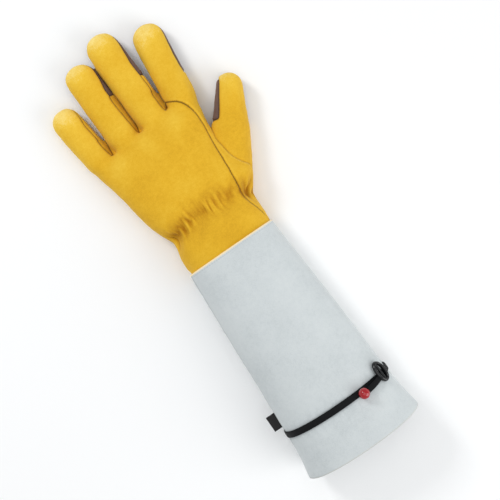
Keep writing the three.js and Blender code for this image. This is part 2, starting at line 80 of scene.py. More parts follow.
def softbox(name, turn, tilt, distance, size, power):
    """A square light that faces the glove. turn is about straight up, and tilt is from straight above."""
    light = bpy.data.objects.new(name, bpy.data.lights.new(name, "AREA"))
    light.data.size = size
    light.data.energy = power
    light.rotation_euler = (math.radians(tilt), 0, math.radians(turn))
    light.location = picture_middle + Matrix.Rotation(math.radians(turn), 3, "Z") @ Vector(
        (0, -math.sin(math.radians(tilt)) * distance, math.cos(math.radians(tilt)) * distance)
    )
    bpy.context.collection.objects.link(light)


softbox("overhead", 0, 0, 1.9, 1.6, 8)
softbox("upper_left", 200, 48, 1.4, 0.35, 6)
softbox("right", 35, 62, 1.4, 1.0, 9)

world = bpy.data.worlds.new("studio")
world.use_nodes = True
world.node_tree.nodes["Background"].inputs["Color"].default_value = linear("#F4F6F8")
world.node_tree.nodes["Background"].inputs["Strength"].default_value = 0.55
bpy.context.scene.world = world


def add_node(tree, kind, inputs=(), **settings):
    """A node with its settings, and its inputs by name or number, each a value or another node's output."""
    made = tree.nodes.new(kind)
    for name, value in settings.items():
        setattr(made, name, value)
    for name, value in dict(inputs).items():
        if isinstance(value, bpy.types.NodeSocket):
            tree.links.new(value, made.inputs[name])
        else:
            made.inputs[name].default_value = value
    return made


def new_material(name):
    """An empty material, its node tree and its shader."""
    material = bpy.data.materials.new(name)
    material.use_nodes = True
    tree = material.node_tree
    tree.nodes.clear()
    shader = add_node(tree, "ShaderNodeBsdfPrincipled")
    add_node(tree, "ShaderNodeOutputMaterial", {"Surface": shader.outputs[0]})
    return material, tree, shader


floor_mesh = bmesh.new()
bmesh.ops.create_grid(floor_mesh, x_segments=1, y_segments=1, size=3)
floor = bpy.data.objects.new("floor", bpy.data.meshes.new("floor"))
floor_mesh.to_mesh(floor.data)
bpy.context.collection.objects.link(floor)
paper, paper_tree, paper_shader = new_material("matt_white_paper")
paper_grain = add_node(paper_tree, "ShaderNodeTexNoise", {"Scale": 1 / (400 * MM), "Detail": 2})
paper_tone = add_node(paper_tree, "ShaderNodeMix", {0: paper_grain.outputs[0]}, data_type="RGBA")
paper_tone.inputs[6].default_value = linear("#F6F7F7")
paper_tone.inputs[7].default_value = linear("#FAFAFA")
paper_tree.links.new(paper_tone.outputs[2], paper_shader.inputs["Base Color"])
paper_shader.inputs["Roughness"].default_value = 0.9
floor.data.materials.append(paper)


# The hand.
# Yellow napped split leather in panels that are sewn inside out and turned, so that each seam is a narrow
# valley between two rounded edges. The hand is filled out, flat underneath and gathered at the wrist.

YELLOW_PIECES = [
    "back_panel",
    "index_panel",
    "palm_panel",
    "fourchette_little_ring",
    "fourchette_ring_middle",
    "fourchette_middle_index",
    "thumb_back",
    "thumb_front",
]
BROWN_PIECES = ["ring_patch", "middle_patch", "index_patch", "thumb_patch"]
HAND_PIECES = YELLOW_PIECES + BROWN_PIECES

LEATHER = 1.6 * MM
SKIN_STEP = 0.85 * MM
SEAM_CLOSING = 0.3 * MM  # how far the panels are let out so that their seams close
SKIN_SMOOTHING = 34
SEAM_SMOOTHING = 30
HAND_CUT = 4 * MM  # where the hand's edge ends, inside the cuff
RAY_START = 0.1 * MM  # off a face, where the rays start that look for the sky and the floor
NOT_NEAREST = 1  # metres, a distance that rules a CAD piece out

NAP = 0.8  # size of the nap's tufts, in millimetres
VALLEY_DEPTH = 0.6 * MM
VALLEY_WIDTH = 0.9 * MM
SEAM_LINE = 0.4 * MM
LIP_HEIGHT = 0.22 * MM
LIP_PLACE = 2.6 * MM

GATHER_PLACE = 26 * MM  # of the elastic at the sides, from the cuff's edge
GATHER_ARCH = 10 * MM  # how much further it lies over the back
GATHER_DIP = 3 * MM  # how far the elastic draws the leather in
GATHER_HEIGHT = 2.8 * MM
GATHER_FOLD = 7 * MM  # width of one fold
GATHER_UP, GATHER_DOWN = 13 * MM, 8 * MM  # how far the folds run from it, to the fingers and the cuff
WRIST_HALF_WIDTH = 45 * MM
WRIST_RADIUS = 40 * MM
WRIST_MIDDLE_HEIGHT = 18 * MM

# Where each crotch lies from the wrist, which way it opens, and how far the strip between the fingers shows
# from above, in millimetres.
CROTCHES = [
    {"strip": "fourchette_little_ring", "x": -37.1, "y": 115.3, "lean": -0.074, "length": 16},
    {"strip": "fourchette_ring_middle", "x": -8.8, "y": 118, "lean": -0.031, "length": 34},
    {"strip": "fourchette_middle_index", "x": 19.8, "y": 120.3, "lean": 0.041, "length": 18},
]
THUMB_PATCH_EDGE = [Vector((51.4, 91.8)), Vector((70.4, 120.4))]  # its upper edge, from low to the tip
FILLING = 6  # width of the leather that closes a crotch, and how far below it that starts, in millimetres
FILLING_FLOOR = 2 * MM
STRIP_WIDTH = 4.4 * MM  # where the fingers part
STRIP_DEPTH = 1.5 * MM
STRIP_TOP = 13.5 * MM  # over the floor
FINGERTIPS = [(-55, 172), (-23.6, 196.5), (5.3, 207.5), (43.1, 192.5), (78.6, 122.6)]  # from the wrist
TIP_HIGHLIGHT_REACH = 17 * MM  # how far from a fingertip the painted highlight reaches


def merged_copy(names, let_out):
    """The CAD pieces as one mesh with its corners merged, each let out all round."""
    bm = bmesh.new()
    for name in names:
        piece = bmesh.new()
        piece.from_mesh(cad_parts[name].data)
        bmesh.ops.remove_doubles(piece, verts=piece.verts, dist=1e-6)
        piece.normal_update()
        for vert in piece.verts:
            vert.co += vert.normal * let_out
        part = bpy.data.meshes.new(name + "_copy")
        piece.to_mesh(part)
        piece.free()
        bm.from_mesh(part)
    return bm


def remeshed(bm, step):
    """The solid in even square faces."""
    blank = bpy.data.objects.new("blank", bpy.data.meshes.new("blank"))
    bm.to_mesh(blank.data)
    bpy.context.collection.objects.link(blank)
    remesh = blank.modifiers.new("remesh", "REMESH")
    remesh.mode = "VOXEL"
    remesh.voxel_size = step
    evaluated = blank.evaluated_get(bpy.context.evaluated_depsgraph_get())
    result = bmesh.new()
    result.from_mesh(evaluated.to_mesh())
    bpy.data.objects.remove(blank)
    return result


def smooth(bm, verts, times, factor=0.5):
    """Evens out those of the vertices that aren't on an open edge."""
    inner = [vert for vert in verts if not vert.is_boundary]
    for _ in range(times):
        bmesh.ops.smooth_vert(
            bm, verts=inner, factor=factor, use_axis_x=True, use_axis_y=True, use_axis_z=True
        )


def keep_outside(bm):
    """Deletes the inside of the walls, unseen from sky and floor, and all but the widest sheet."""
    tree = BVHTree.FromBMesh(bm)
    up = Vector((0, 0, 1))
    hidden = []
    for face in bm.faces:
        centre = face.calc_center_median() + face.normal * RAY_START
        if tree.ray_cast(centre, up)[0] and tree.ray_cast(centre, -up)[0]:
            hidden.append(face)
    bmesh.ops.delete(bm, geom=hidden, context="FACES")
    unseen = set(bm.verts)
    sheets = []
    while unseen:
        seed = unseen.pop()
        sheet = [seed]
        waiting = [seed]
        while waiting:
            for edge in waiting.pop().link_edges:
                for vert in edge.verts:
                    if vert in unseen:
                        unseen.remove(vert)
                        sheet.append(vert)
                        waiting.append(vert)
        xs = [vert.co.x for vert in sheet]
        sheets.append((max(xs) - min(xs), sheet))
    widest = max(sheets, key=lambda entry: entry[0])[1]
    kept = set(widest)
    bmesh.ops.delete(bm, geom=[vert for vert in bm.verts if vert not in kept], context="VERTS")


hand_solid = merged_copy(HAND_PIECES, SEAM_CLOSING)
for crotch in CROTCHES:
    # the strips of two fingers touch near their crotch
    length, depth = crotch["length"] * MM + FILLING * MM, STRIP_TOP - FILLING_FLOOR
    turned = Matrix.Rotation(-math.atan(crotch["lean"]), 4, "Z")
    corner = Matrix.Translation(wrist + Vector((crotch["x"], crotch["y"] - FILLING, 0)) * MM) @ turned
    middle = Matrix.Translation((0, length / 2, STRIP_TOP - depth / 2))
    shape = Matrix.Diagonal((FILLING * MM, length, depth, 1))
    bmesh.ops.create_cube(hand_solid, size=1, matrix=corner @ middle @ shape)
hand = remeshed(hand_solid, SKIN_STEP)
bmesh.ops.bisect_plane(
    hand,
    geom=hand.verts[:] + hand.edges[:] + hand.faces[:],
    plane_co=wrist - Vector((0, HAND_CUT, 0)),
    plane_no=(0, 1, 0),
    clear_inner=True,
)
keep_outside(hand)
relief_shading_layer = hand.verts.layers.float.new("painted_relief_shading")
seam_layer = hand.verts.layers.float.new("seam")
highlight_layer = hand.verts.layers.float.new("painted_highlight")
smooth(hand, hand.verts, SKIN_SMOOTHING)

# Each face belongs to the CAD piece that it lies nearest to.
piece_trees = []
for name in HAND_PIECES:
    source = bmesh.new()
    source.from_mesh(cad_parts[name].data)
    piece_trees.append(BVHTree.FromBMesh(source))
    source.free()
hand.normal_update()
under_pieces = {HAND_PIECES.index(name) for name in ("palm_panel", "thumb_front")}
thumb_patch = HAND_PIECES.index("thumb_patch")


def beside_crotch(crotch, place):
    """How far a place is along a crotch's strip from its point, and how far to the side of its middle."""
    off = (place - wrist).xy - Vector((crotch["x"], crotch["y"])) * MM
    along = Vector((crotch["lean"], 1)).normalized()
    return off.dot(along), abs(off.cross(along))


patch_start = THUMB_PATCH_EDGE[0] * MM
patch_run = (THUMB_PATCH_EDGE[1] - THUMB_PATCH_EDGE[0]) * MM
patch_along = patch_run.normalized()
thumb_sides = [HAND_PIECES.index(name) for name in ("thumb_back", "thumb_front")]
for face in hand.faces:
    centre = face.calc_center_median()
    distances = [tree.find_nearest(centre)[3] for tree in piece_trees]
    if face.normal.z > 0.3:
        distances = [NOT_NEAREST if i in under_pieces else far for i, far in enumerate(distances)]
    if face.normal.x > 0.2 and centre.z > 6 * MM:
        distances[thumb_patch] = NOT_NEAREST  # it wraps only the side towards the fingers
    face.material_index = distances.index(min(distances))
    for crotch in CROTCHES:
        along, aside = beside_crotch(crotch, centre)
        share = along / (crotch["length"] * MM)
        if 0 < share < 1.2 and aside < STRIP_WIDTH / 2 * min(share + 0.12, 1) and face.normal.z > 0:
            face.material_index = HAND_PIECES.index(crotch["strip"])
    off = (centre - wrist).xy - patch_start
    in_patch = patch_along.cross(off) > 0 and 0 < patch_along.dot(off) < patch_run.length
    if face.material_index in thumb_sides and in_patch:
        face.material_index = thumb_patch


def seam_edges(bm):
    return [
        edge
        for edge in bm.edges
        if len(edge.link_faces) == 2
        and edge.link_faces[0].material_index != edge.link_faces[1].material_index
    ]


for _ in range(8):
    # a face with three neighbours of another piece joins them, so that no spike or crumb is left
    beside_seams = {face for edge in seam_edges(hand) for face in edge.link_faces}
    joined = {}
    for face in beside_seams:
        around = [other.material_index for edge in face.edges for other in edge.link_faces if other != face]
        for index in around:
            if index != face.material_index and around.count(index) >= 3:
                joined[face] = index
    for face, index in joined.items():
        face.material_index = index

# The seams run smoothly, and don't follow the square faces.
neighbours = {}
for edge in seam_edges(hand):
    a, b = edge.verts
    neighbours.setdefault(a, []).append(b)
    neighbours.setdefault(b, []).append(a)
for _ in range(SEAM_SMOOTHING):
    moved = {}
    for vert, others in neighbours.items():
        middle = sum((other.co for other in others), Vector()) / len(others)
        moved[vert] = vert.co.lerp(middle, 0.5)
    for vert, place in moved.items():
        vert.co = place
near_seam = {edge.other_vert(vert) for vert in neighbours for edge in vert.link_edges} - set(neighbours)
smooth(hand, near_seam, 4)
hand.normal_update()

# The thumb is set in with a turned seam, which shows only as a soft fold, and so is the palm.
turned_pieces = {HAND_PIECES.index(name) for name in ("thumb_back", "thumb_front", "palm_panel")}
brown_pieces = {HAND_PIECES.index(name) for name in BROWN_PIECES}
seam_strengths = {}
for edge in seam_edges(hand):
    sides = {face.material_index for face in edge.link_faces}
    strength = 0.25 if sides & turned_pieces and not sides & brown_pieces else 1
    for vert in edge.verts:
        seam_strengths[vert] = max(seam_strengths.get(vert, 0), strength)
strengths = list(seam_strengths.values())
seam_tree = KDTree(len(strengths))
for i, vert in enumerate(seam_strengths):
    seam_tree.insert(vert.co, i)
seam_tree.balance()


def bell(distance, width):
    return math.exp(-((distance / width) ** 2))


def gather(place):
    """What the wrist elastic does at a place: how far it draws the leather in and lifts it in folds, and the
    painted shade and light there, from -1 in a valley to 1 on a fold."""
    across = (place.x - wrist.x) / WRIST_HALF_WIDTH
    off = place.y - wrist.y - GATHER_PLACE - GATHER_ARCH * (1 - min(across * across, 1))
    strength = bell(off, GATHER_UP if off > 0 else GATHER_DOWN)
    if strength < 0.01:
        return 0, 0
    around = math.atan2(place.z - WRIST_MIDDLE_HEIGHT, place.x - wrist.x) * WRIST_RADIUS
    broad = abs(noise.noise(Vector((around / (1.3 * GATHER_FOLD), off / (26 * MM), 5))))
    fine = abs(noise.noise(Vector((around / (0.6 * GATHER_FOLD), off / (14 * MM), 8))))
    valleys = min(2.6 * broad, 1) * 0.75 + min(2.6 * fine, 1) * 0.45 - 0.85
    size = 0.75 + 0.6 * noise.noise(Vector((around / (17 * MM), off / (24 * MM), 3)))
    size += 0.6 * min(abs(across), 1.2) ** 2
    fold = valleys * size
    painted_shade = 0.35 * bell(off - 7 * MM, 7 * MM)  # painted shade where the leather turns down to the elastic
    dip = GATHER_DIP * bell(off, 9 * MM) * (1 - 0.7 * min(abs(across), 1) ** 2)
    return GATHER_HEIGHT * strength**2 * fold - dip, 1.8 * fold * strength**2 - painted_shade


index_panel = HAND_PIECES.index("index_panel")
for vert in hand.verts:
    spot, distance = seam_tree.find(vert.co)[1:]
    strength = strengths[spot]
    push = LIP_HEIGHT * bell(distance - LIP_PLACE, 1.6 * MM) - VALLEY_DEPTH * bell(distance, VALLEY_WIDTH)
    drawn, fold = gather(vert.co)
    push += drawn * (1 - 0.7 * bell(distance, 4 * MM)) + 0.5 * MM * noise.noise(vert.co / (22 * MM))
    push += 0.22 * MM * noise.noise(vert.co / (7 * MM) + Vector((5, 5, 5)))
    flat = (vert.co - wrist).xy
    # Painted highlight: the nap is painted paler towards each fingertip and over the ends of the fingers,
    # where the light falls.
    painted_highlight = max(bell((flat - Vector(tip) * MM).length, TIP_HIGHLIGHT_REACH) for tip in FINGERTIPS)
    painted_highlight += 0.3 * min(max((flat.y - 112 * MM) / (20 * MM), 0), 1)
    # Painted shade and light: darker in the gathers' valleys and in each seam's valley, lighter on the
    # folds.
    painted_relief_shading = 0.8 * fold - 0.4 * strength * bell(distance, 1.8 * MM)
    sink = 0
    for crotch in CROTCHES:
        along, aside = beside_crotch(crotch, vert.co)
        share = along / (crotch["length"] * MM)
        # a painted highlight where the leather bulges just below each crotch
        painted_highlight += 0.6 * bell(math.hypot(along + 9 * MM, aside), 9 * MM)
        if -0.05 < share < 1.4 and vert.normal.z > 0:
            opening = min(max(share * 2.5, 0), 1) * min(max((1.4 - share) / 0.3, 0), 1)
            sink += STRIP_DEPTH * opening * bell(aside, STRIP_WIDTH * 0.42) * vert.normal.z
            # painted shade in the strip between two fingers
            painted_relief_shading -= 0.7 * opening * bell(aside, STRIP_WIDTH * 0.5)
    # a painted highlight on the rounded edge of the index panel, just beside its seam
    if all(face.material_index == index_panel for face in vert.link_faces):
        painted_highlight += 0.5 * bell(distance - 1.6 * MM, 0.9 * MM)
    vert[relief_shading_layer] = painted_relief_shading
    vert[highlight_layer] = painted_highlight
    vert[seam_layer] = strength * bell(distance, SEAM_LINE)
    vert.co += vert.normal * push
    vert.co.z = max(vert.co.z - sink, 0.05 * MM)
smooth(hand, hand.verts, 1, 0.35)


def weighed(tree, *parts):
    """The sum of several outputs, each times its weight."""
    total = None
    for socket, weight in parts:
        inputs = {0: socket, 1: weight} if total is None else {0: socket, 1: weight, 2: total}
        kind = "MULTIPLY" if total is None else "MULTIPLY_ADD"
        total = add_node(tree, "ShaderNodeMath", inputs, operation=kind).outputs[0]
    return total


def suede(name, dark, middle, light, highlight_colour, seam_colour):
    """Split leather with its nap raised: no gloss, softly cloudy where the nap lies different ways, with
    painted shade in its creases, painted light on its folds and a painted highlight. The attribute of the
    painted shade runs from -1 in a valley to 1 on a fold, and those of the highlight and seam from 0 to 1."""
    material, tree, shader = new_material(name)
    place = add_node(tree, "ShaderNodeTexCoord").outputs["Object"]

    def grain(size, detail, roughness):
        return add_node(
            tree,
            "ShaderNodeTexNoise",
            {"Vector": place, "Scale": 1 / (size * MM), "Detail": detail, "Roughness": roughness},
        ).outputs[0]

    def attribute(attribute_name):
        return add_node(tree, "ShaderNodeAttribute", attribute_name=attribute_name).outputs["Fac"]

    clouds, mottle, nap = grain(32, 3, 0.55), grain(3.2, 4, 0.6), grain(NAP, 4, 0.7)
    painted_relief_shading, painted_highlight = attribute("painted_relief_shading"), attribute("painted_highlight")
    # the tone adds painted shade and light along the relief, and a painted highlight, to the nap's own
    # clouding
    tone = weighed(tree, (clouds, 0.5), (mottle, 0.3), (nap, 0.45), (painted_relief_shading, 0.42), (painted_highlight, 0.36))
    share = add_node(tree, "ShaderNodeMapRange", {"Value": tone, "From Min": 0.05, "From Max": 1.2})
    ramp = add_node(tree, "ShaderNodeValToRGB", {0: share.outputs[0]})
    ramp.color_ramp.elements[0].color = linear(dark)
    ramp.color_ramp.elements[1].color = linear(highlight_colour)
    for position, colour in ((0.5, middle), (0.75, light)):
        ramp.color_ramp.elements.new(position).color = linear(colour)
    edged = add_node(tree, "ShaderNodeMix", {0: attribute("seam"), 6: ramp.outputs[0]}, data_type="RGBA")
    edged.inputs[7].default_value = linear(seam_colour)
    tree.links.new(edged.outputs[2], shader.inputs["Base Color"])
    height = weighed(tree, (mottle, 0.5), (nap, 1))
    bump = add_node(tree, "ShaderNodeBump", {"Height": height, "Strength": 0.5, "Distance": 0.25 * MM})
    tree.links.new(bump.outputs[0], shader.inputs["Normal"])
    shader.inputs["Roughness"].default_value = 0.9
    shader.inputs["Specular IOR Level"].default_value = 0.2
    shader.inputs["Sheen Weight"].default_value = 0.35
    shader.inputs["Sheen Roughness"].default_value = 0.45
    shader.inputs["Sheen Tint"].default_value = linear(highlight_colour)
    return material


yellow_suede = suede("yellow_split_leather", "#A86F08", "#DFAD27", "#EBC03D", "#F9E08A", "#6E4A12")
brown_suede = suede("brown_split_leather", "#3E2E28", "#6A544C", "#7C655D", "#94807A", "#2A1E1A")


def finished(name, bm, material, slot_name, *nodes):
    """The mesh as a piece of the glove, in place of its CAD nodes."""
    piece = bpy.data.objects.new(name, bpy.data.meshes.new(name))
    bm.to_mesh(piece.data)
    bm.free()
    piece.data.materials.append(material)
    bpy.context.collection.objects.link(piece)
    piece.data.shade_smooth()
    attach(piece, "root")
    if nodes:
        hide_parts(*nodes)
    return piece


for index, name in enumerate(HAND_PIECES):
    panel = hand.copy()
    others = [face for face in panel.faces if face.material_index != index]
    bmesh.ops.delete(panel, geom=others, context="FACES")
    for face in panel.faces:
        face.material_index = 0
    brown = name in BROWN_PIECES
    piece = finished(
        name + "_leather", panel, brown_suede if brown else yellow_suede,
        "brown_leather" if brown else "yellow_leather", name,
    )
    wall = piece.modifiers.new("leather", "SOLIDIFY")
    wall.thickness = LEATHER
    wall.offset = -1
hand.free()


# The cuff.
# One piece of pale grey split leather, closed by a seam along the little-finger side and sewn over the end
# of the hand with its cut edge showing. It widens to the hem and is drawn in a little by the strap.

CUFF_COLUMNS = 256
CUFF_ROWS = 120
CUFF_LENGTH = 190 * MM
STITCH_ROW = 2.5 * MM  # from the cuff's edge at the hand
STITCH = 2.6 * MM  # from one stitch to the next
STITCH_HALF_WIDTH = 0.45 * MM
STITCH_GAP = 0.14  # half of the gap between two stitches, as a share of STITCH
STRAP_AT = 150.5 * MM  # down the cuff, to the middle of the strap
HEM_BOW = 1.5 * MM  # how much further than at the sides the hem and the strap lie on top
AXIS_HEIGHT = 26 * MM
SIDE_SEAM_TURN = 0.985 * math.pi
CUFF_TOP_RADIUS = 34 * MM
CUFF_SIDE_RADIUS = 50 * MM
FACET_SMOOTHING = 9  # columns over which the CAD solid's facets are rounded
FACET_REACH = 20  # columns to each side that the rounding looks at

cuff_source = bmesh.new()
cuff_source.from_mesh(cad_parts["cuff"].data)
cuff_tree = BVHTree.FromBMesh(cuff_source)
cuff_source.free()


def cuff_reach(turn, down):
    """How far the CAD cuff's outside is from the axis, at a turn round it and a distance down."""
    axis = Vector((wrist.x, wrist.y - min(max(down, 1 * MM), CUFF_LENGTH - 1 * MM), AXIS_HEIGHT))
    out = Vector((math.cos(turn), 0, math.sin(turn)))
    return (cuff_tree.ray_cast(axis + out * 0.2, -out)[0] - axis).length


turns = [2 * math.pi * column / CUFF_COLUMNS for column in range(CUFF_COLUMNS)]
downs = [CUFF_LENGTH * row / CUFF_ROWS for row in range(CUFF_ROWS + 1)]
reach = np.array([[cuff_reach(turn, down) for turn in turns] for down in downs])
kernel = np.exp(-((np.arange(-FACET_REACH, FACET_REACH + 1) / FACET_SMOOTHING) ** 2))
kernel /= kernel.sum()
wrapped = np.concatenate([reach[:, -FACET_REACH:], reach, reach[:, :FACET_REACH]], axis=1)
reach = np.array([np.convolve(row, kernel, "valid") for row in wrapped])


def on_cuff(turn, down, out=0.0):
    """A point on the cuff, at a turn round it from the thumb side, a distance down and a height off it."""
    column = turn / (2 * math.pi) * CUFF_COLUMNS
    row = min(max(down / CUFF_LENGTH, 0), 1) * CUFF_ROWS
    c0, r0 = math.floor(column), min(math.floor(row), CUFF_ROWS - 1)
    a, b = column - c0, row - r0
    c0, c1 = c0 % CUFF_COLUMNS, (c0 + 1) % CUFF_COLUMNS
    upper = reach[r0, c0] * (1 - a) + reach[r0, c1] * a
    lower = reach[r0 + 1, c0] * (1 - a) + reach[r0 + 1, c1] * a
    radius = upper * (1 - b) + lower * b + out
    y = wrist.y - down - HEM_BOW * math.sin(turn) * min(down / STRAP_AT, 1)
    z = AXIS_HEIGHT + radius * math.sin(turn)
    return Vector((wrist.x + radius * math.cos(turn), y, max(z, 0.02 * MM)))


def cuff_sway(turn, down):
    """How far the leather stands off the plain shape: it sways, and dips at the strap and at its seam."""
    place = on_cuff(turn, down)
    sway = 0.5 * MM * noise.noise(place / (38 * MM)) + 0.2 * MM * noise.noise(place / (10 * MM))
    sway *= min((CUFF_LENGTH - down) / (8 * MM), 1) * 0.6 + 0.4
    off = down - STRAP_AT
    pucker = noise.noise(Vector((turn * 9, off / (16 * MM), 2)))
    pucker += 0.5 * noise.noise(Vector((turn * 21, 0, 4)))
    drawn = -0.5 * MM * bell(off, 5 * MM) + 0.5 * MM * pucker * bell(abs(off) - 6 * MM, 6 * MM)
    seam = abs(turn - SIDE_SEAM_TURN) * CUFF_SIDE_RADIUS
    valley = 0.35 * MM * bell(seam - 3 * MM, 2 * MM) - 0.9 * MM * bell(seam, 1.1 * MM)
    return sway + drawn + valley


def tube_blank(columns, rows):
    """An open tube of square faces, one round and one long."""
    bm = bmesh.new()
    bmesh.ops.create_cone(bm, segments=columns, radius1=1, radius2=1, depth=1, cap_ends=False)
    long_edges = [edge for edge in bm.edges if abs(edge.verts[0].co.z - edge.verts[1].co.z) > 0.5]
    bmesh.ops.subdivide_edges(bm, edges=long_edges, cuts=rows - 1)
    return bm


cuff = tube_blank(CUFF_COLUMNS, CUFF_ROWS)
cuff_relief_shading = cuff.verts.layers.float.new("painted_relief_shading")
cuff_seam = cuff.verts.layers.float.new("seam")
cuff_down = cuff.verts.layers.float.new("down")
cuff_round = cuff.verts.layers.float.new("round")
for vert in cuff.verts:
    turn = math.atan2(vert.co.y, vert.co.x) % (2 * math.pi)
    down = (0.5 - vert.co.z) * CUFF_LENGTH
    vert.co = on_cuff(turn, down, cuff_sway(turn, down))
    from_seam = (turn - SIDE_SEAM_TURN) * CUFF_SIDE_RADIUS
    # painted shade beside the strap, where it draws the leather in, and in the valley of the side seam
    vert[cuff_relief_shading] = -0.6 * bell(down - STRAP_AT, 5 * MM) - 0.7 * bell(from_seam, 2 * MM)
    vert[cuff_seam] = 0.5 * bell(from_seam, 0.8 * MM)
    vert[cuff_down] = down
    vert[cuff_round] = abs(turn - math.pi) * CUFF_TOP_RADIUS  # along the edge, from the little-finger side
bmesh.ops.recalc_face_normals(cuff, faces=cuff.faces)
top_face = max(cuff.faces, key=lambda face: face.calc_center_median().z)
if top_face.normal.z < 0:
    bmesh.ops.reverse_faces(cuff, faces=cuff.faces)

grey_suede = suede("grey_split_leather", "#A2AAAC", "#CAD0D1", "#D4D9D9", "#E6E9E7", "#8E9494")
grey_tree = grey_suede.node_tree
grey_shader = next(node for node in grey_tree.nodes if node.type == "BSDF_PRINCIPLED")
napped = grey_shader.inputs["Base Color"].links[0].from_socket
down_cuff = add_node(grey_tree, "ShaderNodeAttribute", attribute_name="down")
grey_place = add_node(grey_tree, "ShaderNodeTexCoord").outputs["Object"]
frayed = add_node(
    grey_tree, "ShaderNodeTexNoise", {"Vector": grey_place, "Scale": 1 / (1.2 * MM), "Detail": 3}
)
wandering = add_node(
    grey_tree,
    "ShaderNodeMath",
    {0: frayed.outputs[0], 1: 0.7 * MM, 2: down_cuff.outputs["Fac"]},
    operation="MULTIPLY_ADD",
)
row = add_node(
    grey_tree,
    "ShaderNodeMath",
    {0: down_cuff.outputs["Fac"], 1: STITCH_ROW, 2: STITCH_HALF_WIDTH},
    operation="COMPARE",
)
round_cuff = add_node(grey_tree, "ShaderNodeAttribute", attribute_name="round")
step = add_node(
    grey_tree, "ShaderNodeMath", {0: round_cuff.outputs["Fac"], 1: 1 / STITCH}, operation="MULTIPLY"
)
sunk = add_node(grey_tree, "ShaderNodeMath", {0: step.outputs[0], 1: 0.5}, operation="PINGPONG")
stitch = add_node(
    grey_tree, "ShaderNodeMath", {0: sunk.outputs[0], 1: STITCH_GAP}, operation="GREATER_THAN"
)
sewn = add_node(grey_tree, "ShaderNodeMath", {0: row.outputs[0], 1: stitch.outputs[0]}, operation="MULTIPLY")
thread = add_node(grey_tree, "ShaderNodeMix", {0: sewn.outputs[0], 6: napped}, data_type="RGBA")
thread.inputs[7].default_value = linear("#BEC4C5")
napped = thread.outputs[2]
for name, colour, low, high in (
    ("cut_edge_at_the_hand", "#FFEABC", 1.8 * MM, 1.2 * MM),
    ("cut_edge_at_the_hem", "#C6C8C4", CUFF_LENGTH - 0.7 * MM, CUFF_LENGTH - 0.1 * MM),
):
    share = add_node(
        grey_tree,
        "ShaderNodeMapRange",
        {"Value": wandering.outputs[0], "From Min": low, "From Max": high},
        name=name,
    )
    edge = add_node(grey_tree, "ShaderNodeMix", {0: share.outputs[0], 6: napped}, data_type="RGBA")
    edge.inputs[7].default_value = linear(colour)
    napped = edge.outputs[2]
grey_tree.links.new(napped, grey_shader.inputs["Base Color"])

cuff_piece = finished("cuff_leather", cuff, grey_suede, "grey_leather", "cuff")
wall = cuff_piece.modifiers.new("leather", "SOLIDIFY")
wall.thickness = LEATHER
wall.offset = -1


# The strap.
# Flat black braided elastic, in a loop round the cuff. Both of its ends pass under the slide, and one runs
# on as a short tail that narrows into the bead.

STRAP_WIDTH = 5.3 * MM
STRAP_THICKNESS = 1.2 * MM
STRAP_OFF = -0.15 * MM  # of the strap's underside, from the plain cuff, which the strap draws in
TAIL_SLANT = 3.2 * MM  # how far the tail has run towards the hem at the bead
BRAID_RIBS = 7  # ribs of the braid across the strap
BRAID_STEP = 0.9 * MM  # length of one crossing of its threads
SLIDE_SAG = 0.03  # radians, how much further down the side the slide hangs than the CAD's stiff one


def turn_of(node):
    """Where a CAD node lies round the cuff, in radians from the thumb side."""
    low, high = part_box(node)
    middle = (low + high) / 2
    return math.atan2(middle.z - AXIS_HEIGHT, middle.x - wrist.x)


SLIDE_TURN = turn_of("slide") - SLIDE_SAG
BEAD_TURN = turn_of("bead")
TAIL_LENGTH = (on_cuff(BEAD_TURN, STRAP_AT) - on_cuff(SLIDE_TURN, STRAP_AT)).length


def flat_elastic(steps, across, middle):
    """A flat band. middle(share) gives a turn, a distance down, a height off the cuff and its width."""
    bm = bmesh.new()
    bmesh.ops.create_grid(bm, x_segments=steps, y_segments=across, size=0.5)
    uv = bm.loops.layers.uv.new("braid")
    for face in bm.faces:
        for loop in face.loops:
            loop[uv].uv = (loop.vert.co.x + 0.5, loop.vert.co.y + 0.5)
    for vert in bm.verts:
        share, side = vert.co.x + 0.5, vert.co.y
        turn, down, off, width = middle(share)
        crown = 0.25 * MM * (1 - (2 * side) ** 2)
        vert.co = on_cuff(turn, down - side * width, off + crown)
        vert.co.z = max(vert.co.z, STRAP_THICKNESS + 0.05 * MM)
    return bm


def loop_middle(share):
    return SLIDE_TURN + 2 * math.pi * share, STRAP_AT, STRAP_OFF, STRAP_WIDTH


def tail_middle(share):
    narrowing = 0.8 - 0.4 * max(0, (share - 0.8) / 0.2) ** 2
    off = STRAP_OFF + STRAP_THICKNESS * 1.35 + 1.6 * MM * math.sin(math.pi * share) ** 2 + 1.2 * MM * share
    turn = SLIDE_TURN + (BEAD_TURN - SLIDE_TURN) * share
    return turn, STRAP_AT + TAIL_SLANT * share, off, STRAP_WIDTH * narrowing


